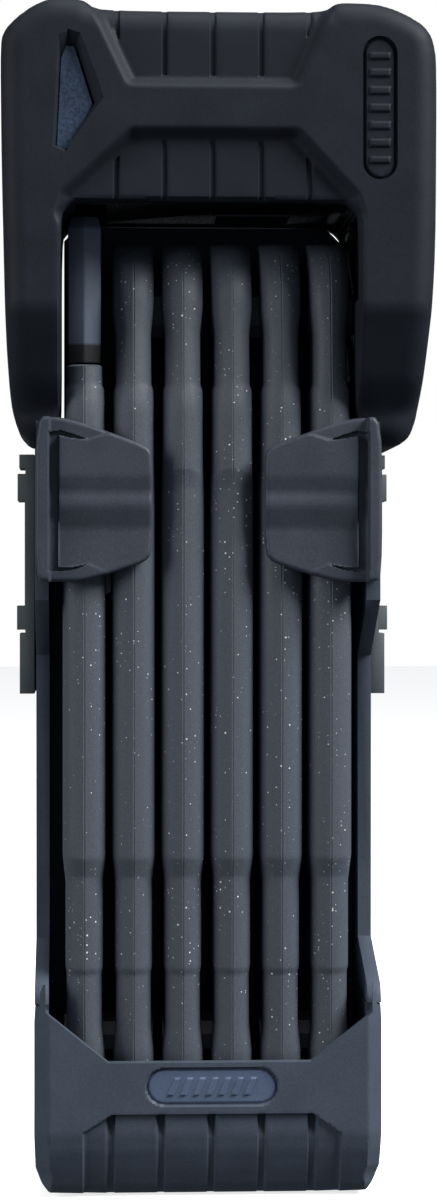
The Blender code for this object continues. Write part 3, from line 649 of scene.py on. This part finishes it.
# %% How the front of the head is sunk
UPPER_ZONE = [(-12.9, 89.7), (13.9, 89.7), (20.6, 105.0), (-20.2, 105.0)]
LOWER_ZONE = [(-24.6, 66.0), (24.5, 66.0), (23.7, 68.6), (14.3, 78.7), (-12.9, 78.7), (-23.8, 68.6)]
LEG_SLOPE = ([26.0, 33.2, 38.0, 50.0], [10.3, 9.9, 5.5, 0.0])


def rim_of_head(foot):
    """The outer rim rolls over widely; the edge of the notch only a little."""
    in_notch = (np.abs(foot[:, 0] - 0.1) < 26.2) & (foot[:, 1] < NOTCH_TOP + 0.5)
    return np.where(in_notch, 0.9, 4.0), np.where(in_notch, 0.9, 3.4)


def x_frame(spots):
    """The two ribbed zones that leave the raised frame between them."""
    sunk = np.zeros(len(spots))
    for zone in (UPPER_ZONE, LOWER_ZONE):
        inward, _ = inside_by(spots, zone)
        floor = ZONE_DEPTH * soft_step((inward + ZONE_SLOPE) / ZONE_SLOPE)
        grooves = sum(soft_step((0.62 - np.abs(spots[:, 0] - groove)) / 0.25) for groove in RIB_GROOVES)
        sunk = np.maximum(sunk, floor + 0.5 * grooves * soft_step(inward / 0.3))
    return sunk


def head_front_depth(spots):
    return x_frame(spots) + smooth_line(spots[:, 1], *LEG_SLOPE, 1.2)


# %% [markdown]
# ### Cutting the casing
# The casing is hollow, so a block of the shape of its room is taken out of each half with a
# Boolean. Small cutters make the window, the badge recess, the keyhole and the screw holes.

# %% Cutters that the two halves share
HEAD_ROOM = [(-33.0, 52.0), (-28.4, 52.0), (-28.4, 72.0), (-23.0, 72.0), (-23.0, 67.3), (25.0, 67.3),
             (25.0, 52.0), (36.4, 52.0), (36.4, 96.6), (34.0, 98.8), (-31.0, 98.8), (-33.0, 96.8)]
KEY_X, KEY_Y = 8.0, -24.0
KEY_COVER_HALF, KEY_COVER_FLOOR = 9.3, 99.8


def keyhole_cutters(low, high):
    recess = box("cover_recess", (KEY_X - KEY_COVER_HALF, low, KEY_COVER_FLOOR),
                 (KEY_X + KEY_COVER_HALF, high, 110))
    hole = prism("key_opening", arc((KEY_X, KEY_Y), 6.9, 0, 345, 23), 97, 110, "Z")
    return [recess, hole]


def leg_room(name, low_x, high_x, bottom, low, high):
    return box(name, (low_x, low, bottom), (high_x, high, 53.0))


# %% Front half of the casing
WINDOW = [(-24.3, 97.4), (-26.0, 96.3), (-27.0, 77.2), (-24.6, 76.3), (-18.2, 85.8), (-22.2, 96.7)]
WINDOW_FLOOR = [(-24.6, 94.4), (-25.4, 92.4), (-26.1, 77.9), (-24.1, 77.5), (-20.3, 84.8), (-23.3, 94.3)]
WINDOW_DEPTH = 2.6
OVERRUN = 0.4
BADGE_CENTRE = (29.1, 84.3)

front_half = moulding("head_casing_front", HEAD_OUTLINE, HEAD_FRONT, SEAM_FRONT, 0.32, rim_of_head,
                      depth=head_front_depth)
steeper = [tuple((1 + OVERRUN) * np.array(far) - OVERRUN * np.array(near))
           for near, far in zip(WINDOW_FLOOR, WINDOW)]
combine(front_half, [
    prism("front_room", HEAD_ROOM, HEAD_FRONT + COVER_SKIN + 1.9, SEAM_FRONT + 1),
    leg_room("left_room", -33.0, -28.4, 34.0, -31.5, SEAM_FRONT + 1),
    leg_room("right_room", 25.0, 35.4, 32.0, -31.5, SEAM_FRONT + 1),
    prism("window", steeper, HEAD_FRONT - OVERRUN * WINDOW_DEPTH, HEAD_FRONT + WINDOW_DEPTH,
          far_outline=WINDOW_FLOOR),
    prism("badge_recess", stadium(BADGE_CENTRE, 12.3, 3.0, upright=True),
          HEAD_FRONT - 1, HEAD_FRONT + 0.9),
    *keyhole_cutters(-31.0, -20),
])
hang(front_half, "head_cover_front", soft_touch_rubber)

# %% Rear half of the casing
SCREW_PLACES = [(-30.7, 46.0), (-30.0, 93.0), (33.4, 93.0), (33.4, 64.0)]
rear_half = moulding("head_casing_rear", HEAD_OUTLINE, HEAD_BACK, SEAM_BACK, 0.4, rim_of_head)
rear_wall = HEAD_BACK - COVER_SKIN
combine(rear_half, [
    prism("rear_room", HEAD_ROOM, SEAM_BACK - 1, rear_wall),
    leg_room("left_room", -33.0, -28.4, 34.0, SEAM_BACK - 1, rear_wall),
    leg_room("right_room", 25.0, 35.4, 32.0, SEAM_BACK - 1, rear_wall),
    *keyhole_cutters(-30, -6.2),
    *[prism("counterbore", arc(place, 3.3, 0, 345, 23), HEAD_BACK - 1.8, 1) for place in SCREW_PLACES],
    *[prism("clearance", arc(place, 1.9, 0, 345, 23), HEAD_BACK - 8, 0) for place in SCREW_PLACES],
])
hang(rear_half, "head_cover_rear", soft_touch_rubber)

# %% [markdown]
# ### Window insert and badge
# The window holds a coarse-grained insert, whose crinkled surface is modelled as real bumps. The
# badge is a plain stadium-shaped plate with a row of short ribs.

# %% Insert and head badge
insert_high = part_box("window_insert")[1].y / MM


def crinkle(spots):
    """Small irregular bumps made from a few crossing waves."""
    x, z = spots.T
    waves = np.sin(3.1 * x + 1.7 * np.sin(2.3 * z)) * np.sin(2.7 * z + 1.9 * np.sin(3.7 * x))
    fine = np.sin(7.3 * x + 2.1 * np.sin(5.1 * z)) * np.sin(6.1 * z + 1.3 * np.sin(8.3 * x))
    return 0.12 + 0.09 * waves + 0.05 * fine


WINDOW_CENTRE = np.array((-23.9, 86.0))
grown_floor = [tuple(WINDOW_CENTRE + 1.04 * (np.array(point) - WINDOW_CENTRE)) for point in WINDOW_FLOOR]
insert = moulding("window_insert_grained", grown_floor, HEAD_FRONT + WINDOW_DEPTH - 0.3, insert_high, 0.14,
                  (0.3, 0.2), depth=crinkle)
hang(insert, "window_insert", window_grain)


def short_ribs(spots):
    """Ribs 1.4 mm tall and 3.6 mm wide, spaced at 3 mm up the badge."""
    from_rib = np.abs((spots[:, 1] - BADGE_CENTRE[1] + 1.5) % 3.0 - 1.5)
    across = np.abs(spots[:, 0] - BADGE_CENTRE[0])
    raised = soft_step((0.75 - from_rib) / 0.25) * soft_step((1.9 - across) / 0.3)
    raised *= soft_step((9.6 - np.abs(spots[:, 1] - BADGE_CENTRE[1])) / 0.3)
    return 0.35 * (1 - raised)


head_badge = moulding("head_badge_ribbed", stadium(BADGE_CENTRE, 12.0, 2.7, upright=True),
                      HEAD_FRONT + 0.15, HEAD_FRONT + 0.85, 0.2, (0.4, 0.3), depth=short_ribs)
hang(head_badge, "head_badge", soft_touch_rubber)

# %% [markdown]
# ## Clip wings
# Each wing is a springy tongue on the front edge of a side arm. A ridge runs down its outer edge.
# Inside it lies a thumb pad, with a deep groove shaped like a square bracket round its root and a
# lowered collar past it. A soft wave across the pad gives the thumb a hold.

# %% Wing outline and relief
WING_FRONT, WING_PAD, WING_BACK, WING_ROOT = -40.3, -38.8, -36.3, -35.2
WING = [(-29.9, 31.6), (-29.9, 3.6), (-27.9, 3.1), (-22.4, 3.2), (-17.2, 4.5), (-11.2, 6.5),
        (-9.8, 8.0), (-9.7, 25.2), (-10.8, 26.7), (-21.5, 30.6), (-25.7, 31.6)]
GROOVE = [(-27.6, 29.0), (-25.6, 29.3), (-23.3, 28.6), (-20.9, 27.7), (-23.8, 27.9), (-25.9, 28.4),
          (-26.0, 5.6), (-23.3, 5.7), (-20.7, 6.2), (-23.2, 5.2), (-25.5, 4.9), (-27.6, 4.9)]
THUMB_PAD = [(-26.0, 28.45), (-20.9, 27.7), (-17.0, 28.9), (-8.0, 26.0), (-8.0, 7.0), (-17.0, 4.6),
             (-20.7, 6.2), (-26.0, 5.5)]
THUMB_WAVE = ([4.0, 12.4, 16.0, 17.0, 18.6, 21.4], [0.8, 1.35, 0.35, 0.3, 0.6, 0.0])
GROOVE_DEPTH, COLLAR_DROP = 3.0, 0.8
RIDGE_INSIDE = -27.7


def wing_depth(spots):
    """How far each spot lies below the ridge: pad, collar and groove."""
    left = np.stack([-np.abs(spots[:, 0]), spots[:, 1]], axis=1)
    on_pad = soft_step(inside_by(left, THUMB_PAD)[0] / 0.5 + 0.5)
    behind_ridge = soft_step((left[:, 0] - RIDGE_INSIDE) / 0.5)
    collar = behind_ridge * (1 - on_pad) * COLLAR_DROP
    wave = on_pad * smooth_line(left[:, 1], *THUMB_WAVE, 0.6)
    face = behind_ridge * (WING_PAD - WING_FRONT) + collar + wave
    groove = soft_step(inside_by(left, GROOVE)[0] / 0.25 + 0.6)
    return np.maximum(face, groove * GROOVE_DEPTH)


ROOT_OUTSIDE, ROOT_INSIDE, ROOT_BOTTOM, ROOT_TOP = 29.85, 28.2, 4.2, 31.0
for node, side in (("left_clip_flap", -1), ("right_clip_flap", 1)):
    outline = round_corners(WING if side < 0 else mirrored(WING))
    wing = moulding(f"{node}_moulded", outline, WING_FRONT, WING_BACK, 0.17, (0.7, 0.6), depth=wing_depth)
    root = box("ridge_root", (side * ROOT_OUTSIDE, WING_BACK - 0.5, ROOT_BOTTOM),
               (side * ROOT_INSIDE, WING_ROOT, ROOT_TOP))
    combine(wing, [root], "UNION")
    hang(wing, node, clip_nylon)

# %% [markdown]
# ## Cup
# The cup closes the holder below. Its front has a wide mouth that shows the ends of the bars, flat
# bevels down both sides, a stadium badge, and a ribbed toe that curls under. Behind, the back plate
# of the holder laps down into it.

# %% Cup relief
cup_low, cup_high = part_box("holder_cup")
CUP_FRONT, CUP_BACK, CUP_BOTTOM = cup_low.y / MM, cup_high.y / MM, cup_low.z / MM
CUP_INNER_FRONT = CUP_FRONT + 2.5
CUP_HALF = 30.2
CUP_OUTLINE = [(-CUP_HALF, -98.0), (-29.0, -101.5), (-27.4, CUP_BOTTOM), (27.4, CUP_BOTTOM),
               (29.0, -101.5), (CUP_HALF, -98.0), (CUP_HALF, -67.6), (28.2, -66.2), (-28.2, -66.2),
               (-CUP_HALF, -67.6)]
TOE = ([CUP_BOTTOM, -102.0, -98.6, -95.2, -92.2], [5.2, 3.6, 1.9, 0.6, 0.0])
GROOVE_FLOOR = ([-99.0, -93.0, -89.0], [0.45, 0.35, 1.7])
TOE_ZONE = [(-16.6, -88.6), (-21.8, -91.8), (-21.8, -110), (23.0, -110), (23.0, -92.2), (17.8, -88.6)]
TOE_GROOVES = [8.7 * step + 0.45 for step in range(-2, 3)]
CUP_BADGE = (0.5, -84.0)


def cup_depth(spots):
    """The curl of the toe, its grooves, and the seat of the badge."""
    zone, _ = inside_by(spots, TOE_ZONE)
    grooves = sum(soft_step((0.8 - np.abs(spots[:, 0] - groove)) / 0.25) for groove in TOE_GROOVES)
    ribbed = (0.7 + grooves * smooth_line(spots[:, 1], *GROOVE_FLOOR, 0.3)) * soft_step(zone / 0.35)
    badge, _ = inside_by(spots, stadium(CUP_BADGE, 11.4, 3.2))
    return smooth_line(spots[:, 1], *TOE, 0.8) + ribbed + 0.7 * soft_step(badge / 0.2 + 0.5)


def cup_rim(foot):
    """Flat bevels down the sides, which run out round the bottom corners."""
    side = soft_step((np.abs(foot[:, 0]) - 27.2) / 2.4)
    return 0.4 + 2.1 * side, 0.3 + 3.3 * side


# %% Cup piece
MOUTH = [(-28.3, -60.0), (-28.2, -71.1), (-17.4, -79.8), (17.7, -79.8), (28.4, -71.4), (28.5, -60.0)]
ABOVE_CUP, PAST_CUP = -50, 40
cup = moulding("holder_cup_moulded", round_corners(CUP_OUTLINE, 1), CUP_FRONT, CUP_BACK, 0.3, cup_rim,
               flat_roll=True, depth=cup_depth)
combine(cup, [
    box("cup_room", (-27.7, CUP_INNER_FRONT, -94.0), (27.7, -7.1, ABOVE_CUP)),
    box("cup_seam", (-PAST_CUP, CUP_INNER_FRONT + 0.1, -70.3), (PAST_CUP, -7.0, ABOVE_CUP)),
    box("cup_back_edge", (-PAST_CUP, -7.4, -69.95), (PAST_CUP, 0, ABOVE_CUP)),
    box("cup_lap", (-26.9, -8.0, -86.1), (26.9, 1.0, ABOVE_CUP)),
    prism("mouth", MOUTH, CUP_FRONT - 1, CUP_INNER_FRONT + 3),
])
hang(cup, "holder_cup", holder_nylon)


def slanted_ribs(spots):
    """A row of slanted ribs across the middle of the cup badge."""
    x, z = spots[:, 0] - CUP_BADGE[0], spots[:, 1] - CUP_BADGE[1]
    from_rib = np.abs((x - 0.4 * z + 1.1) % 2.2 - 1.1)
    raised = soft_step((0.55 - from_rib) / 0.2) * soft_step((1.6 - np.abs(z)) / 0.25)
    raised *= soft_step((7.6 - np.abs(x - 0.4 * z)) / 0.3)
    return 0.3 * (1 - raised)


cup_badge = moulding("cup_badge_ribbed", stadium(CUP_BADGE, 11.1, 2.9),
                     CUP_FRONT + 0.12, CUP_FRONT + 0.66, 0.16, (0.3, 0.2), depth=slanted_ribs)
hang(cup_badge, "cup_badge", badge_nylon)

# %% [markdown]
# ## Bar sleeves
# A sleeve is a soft coating moulded over a flat bar. Seen on edge it has a flared head, a neck, a
# proud middle and a neck and flare again below. Its narrow edges come to a blunt crest, with the
# fine parting line of the mould down it. It is a loft: a grid wrapped round, ring by ring.

# %% The shape of a sleeve
BAR_Y = -22.0
BAR_PITCH = 8.6
BAR_CENTRES = [BAR_PITCH * (number - 3.5) for number in range(1, 7)]
TOP_PIVOT, BOTTOM_PIVOT = 51.0, -79.0
SLEEVE_HALF_WIDTH, LOWER_PROUD, MIDDLE_PROUD, UPPER_PROUD = 12.5, 0.3, 1.1, 1.65
TONGUE_SLEEVE_TOP = 41.0
PROFILE = ([-79.0, -74.5, -65.0, -64.3, -49.2, -44.5, 18.6, 22.4, 36.8, 37.5, 46.5, 51.0],
           [3.6, 3.1, 3.1, 3.3, 3.3, 3.8, 3.8, 3.6, 3.5, 3.15, 3.1, 3.6])
PROUD = ([-65.0, -64.5, -48.2, -45.0, 18.6, 21.4, 34.0, 37.5, 51.0],
         [0.0, LOWER_PROUD, LOWER_PROUD, MIDDLE_PROUD, MIDDLE_PROUD, UPPER_PROUD, UPPER_PROUD, 1.0, 0.0])
# Share of the half thickness against how far the surface has fallen from the crest (mm)
EDGE_SECTION = [(0.0, 0.12), (0.05, 0.0), (0.22, 0.16), (0.4, 0.38), (0.55, 0.66), (0.68, 1.02),
                (0.78, 1.42), (0.86, 1.92), (0.93, 2.6), (0.98, 3.5), (1.0, 4.4)]
DOME_HEIGHT, DOME_RISE, DOME_SPREAD = 20.6, 1.5, 3


def sleeve_ring(height, half_width):
    """One closed section: up one side of the near edge, round, and back along the far edge."""
    thick = smooth_line(np.array([height]), *PROFILE, 0.25)[0]
    crest = half_width + smooth_line(np.array([height]), *PROUD, 0.3)[0]
    squeeze = min(1.0, half_width / 4)
    quarter = [(share * thick, crest - fall * squeeze) for share, fall in EDGE_SECTION]
    far = [(across, deep) for across, deep in reversed(quarter)]
    far += [(-across, deep) for across, deep in quarter[1:]]
    near = [(-across, -deep) for across, deep in far]
    dome = DOME_RISE * math.exp(-((height - DOME_HEIGHT) / DOME_SPREAD) ** 2)
    return [(across, deep, height + dome * (1 - (across / thick) ** 2)) for across, deep in near + far]


def sleeve_heights(bare_top):
    """Heights down the sleeve and the half width at each: close together where the shape changes."""
    ends = np.radians(np.linspace(12, 90, 14))
    if bare_top:
        rings = [(TONGUE_SLEEVE_TOP, SLEEVE_HALF_WIDTH - 1.2),
                 (TONGUE_SLEEVE_TOP - 0.15, SLEEVE_HALF_WIDTH - 0.9)]
    else:
        rings = [(TOP_PIVOT + SLEEVE_HALF_WIDTH * math.cos(turn), SLEEVE_HALF_WIDTH * math.sin(turn))
                 for turn in ends]
    start = TONGUE_SLEEVE_TOP - 0.4 if bare_top else TOP_PIVOT - 0.4
    stretches = [(start, 35.0, 0.45), (34.0, 24.0, 2.0), (24.0, 16.0, 0.3), (14.0, -42.0, 4.0),
                 (-43.0, -51.0, 0.3), (-52.0, -63.0, 2.0), (-63.5, -78.6, 0.45)]
    for high, low, step in stretches:
        rings += [(height, SLEEVE_HALF_WIDTH) for height in np.arange(high, low, -step)]
    rings += [(BOTTOM_PIVOT - SLEEVE_HALF_WIDTH * math.cos(turn), SLEEVE_HALF_WIDTH * math.sin(turn))
              for turn in reversed(ends)]
    return rings


def wrapped_grid(name, rings):
    """A grid whose rows become closed rings, sewn along the seam and capped at both ends."""
    rings = np.array(rings, float)
    closed = np.concatenate([rings, rings[:, :1]], axis=1)
    bpy.ops.object.select_all(action="DESELECT")
    rows, columns = closed.shape[:2]
    bpy.ops.mesh.primitive_grid_add(x_subdivisions=columns - 1, y_subdivisions=rows - 1, size=1)
    piece = bpy.context.active_object
    piece.name = name
    write_points(piece.data, closed.reshape(-1, 3) * MM)
    bpy.ops.object.mode_set(mode="EDIT")
    bpy.ops.mesh.select_all(action="SELECT")
    bpy.ops.mesh.remove_doubles(threshold=0.001 * MM)
    bpy.ops.mesh.fill_holes(sides=0)
    bpy.ops.object.mode_set(mode="OBJECT")
    tidy_normals(piece, 50)
    return piece


# %% Make one sleeve, and copy it along the stack
STEEL_ROOM_HALF, STEEL_ROOM_WIDTH, EYE_RADIUS = 2.65, 10.25, 7.0


def make_sleeve(name, centre, bare_top):
    rings = [[(centre + across, BAR_Y + deep, up) for across, deep, up in sleeve_ring(*station)]
             for station in sleeve_heights(bare_top)]
    sleeve = wrapped_grid(name, rings)
    top = TOP_PIVOT + 40 if bare_top else TOP_PIVOT
    middle, half_run = (top + BOTTOM_PIVOT) / 2, (top - BOTTOM_PIVOT) / 2
    channel = stadium((BAR_Y, middle), half_run + STEEL_ROOM_WIDTH, STEEL_ROOM_WIDTH, upright=True)
    cutters = [prism("channel", channel, centre - STEEL_ROOM_HALF, centre + STEEL_ROOM_HALF, "X")]
    for pivot in (BOTTOM_PIVOT,) if bare_top else (BOTTOM_PIVOT, TOP_PIVOT):
        eye = arc((BAR_Y, pivot), EYE_RADIUS, 0, 345, 23)
        cutters.append(prism("eye", eye, centre - 6, centre + 6, "X"))
    combine(sleeve, cutters)
    bpy.ops.object.shade_smooth_by_angle(angle=math.radians(50))
    return sleeve


hang(make_sleeve("bar_1_sleeve_coated", BAR_CENTRES[0], True), "bar_1_sleeve", sleeve_coating)
second = make_sleeve("bar_2_sleeve_coated", BAR_CENTRES[1], False)
for number in range(3, 7):
    copy = second.copy()
    copy.data = second.data.copy()
    copy.name = f"bar_{number}_sleeve_coated"
    bpy.context.scene.collection.objects.link(copy)
    copy.data.transform(Matrix.Translation((BAR_PITCH * (number - 2) * MM, 0, 0)))
    hang(copy, f"bar_{number}_sleeve", sleeve_coating)
hang(second, "bar_2_sleeve", sleeve_coating)
print("sleeve faces:", len(second.data.polygons))

# %% [markdown]
# ## Pieces that only need soft edges
# The working shapes of the holder, its bracket, the tongue and the steel body of the head are right
# as they are, but no mould or grinder leaves an edge as sharp as theirs. So a merged copy of each
# gets a small bevel.

# %% Bevelled copies
# The tongue's copy gets the painted steel with its painted shade band just above the sleeve
for node, width, finish in (
    ("holder_body", 0.35, holder_nylon), ("frame_bracket", 0.6, bracket_nylon),
    ("frame_pad", 0.3, pad_rubber), ("bar_1_steel", 0.25, tongue_steel_with_shade_band),
    ("head_core", 0.3, gloss_black_steel),
    ("keyhole_cover", 0.3, soft_touch_rubber), ("underside_label", 0.05, label_film),
):
    hang(soft_copy(node, width), node, finish)
    print(node, "finished")
